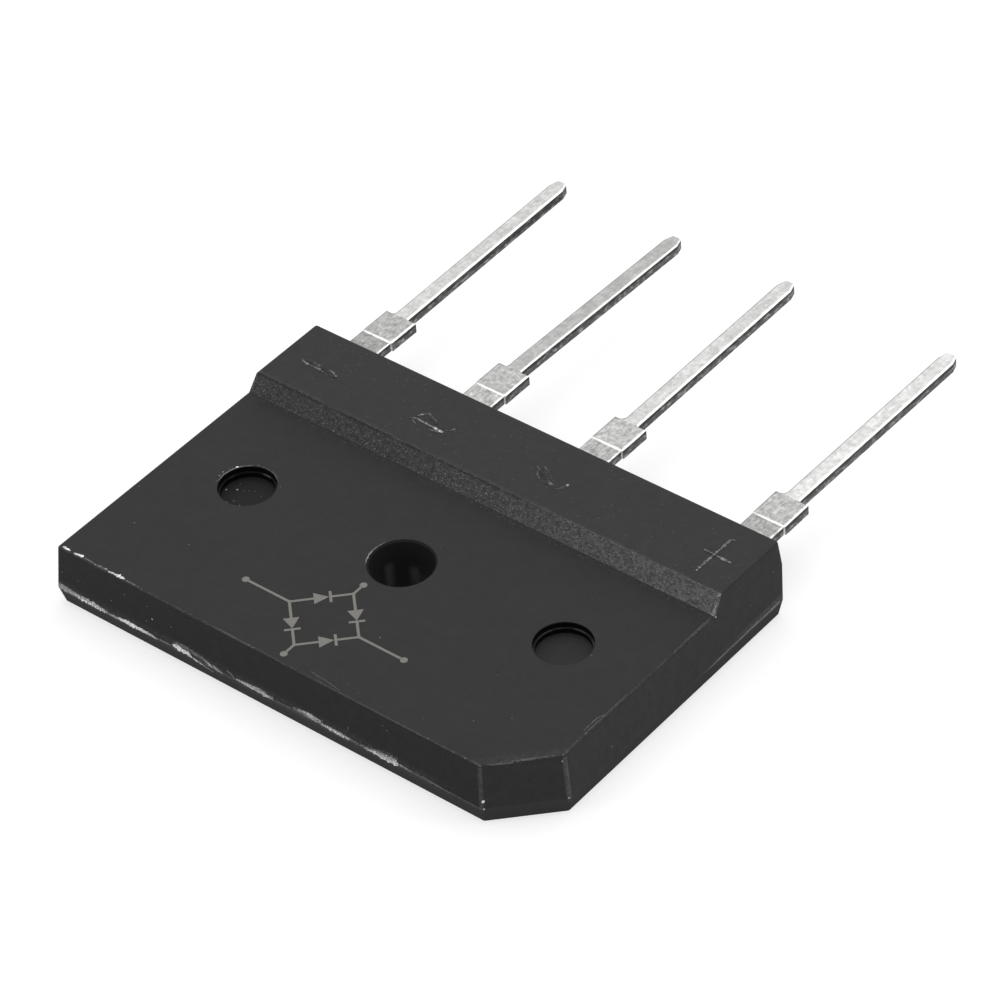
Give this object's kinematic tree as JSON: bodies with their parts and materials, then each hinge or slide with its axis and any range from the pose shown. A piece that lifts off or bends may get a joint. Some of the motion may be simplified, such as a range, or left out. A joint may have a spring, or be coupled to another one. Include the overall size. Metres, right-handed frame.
{
  "type": "bridge rectifier",
  "caption": "Flat moulded bridge rectifier with a row of tinned leads, a raised marked band and a screw hole for a heat sink.",
  "frame": {"origin": "on the axis of the mounting screw hole, at the flat back face that lies against the heat sink", "axes": "+X towards the end with the plus lead and the corner chamfer, +Y out along the leads, +Z along the hole out of the marked front face"},
  "size_m": [0.03, 0.0375, 0.0044],
  "materials": {
    "epoxy": "fine matte black moulding compound",
    "tinned_copper": "matte tin over copper strip",
    "silicon": "polished grey silicon with a glass-covered bevel",
    "solder": "dull grey solder",
    "copper": "bare rolled copper"
  },
  "bodies": {
    "root": {"encapsulant": "epoxy", "lead_minus": "tinned_copper", "lead_ac_1": "tinned_copper", "lead_ac_2": "tinned_copper", "lead_plus": "tinned_copper", "diode_die_plus_1": "silicon", "diode_die_plus_2": "silicon", "diode_die_minus_1": "silicon", "diode_die_minus_2": "silicon", "cathode_solder_plus_1": "solder", "cathode_solder_plus_2": "solder", "cathode_solder_minus_1": "solder", "cathode_solder_minus_2": "solder", "anode_solder_plus_1": "solder", "anode_solder_plus_2": "solder", "anode_solder_minus_1": "solder", "anode_solder_minus_2": "solder", "clip_ac_1": "copper", "clip_ac_2": "copper", "clip_minus": "copper", "foot_solder_ac_1": "solder", "foot_solder_ac_2": "solder", "foot_solder_minus": "solder"}
  },
  "joints": []
}
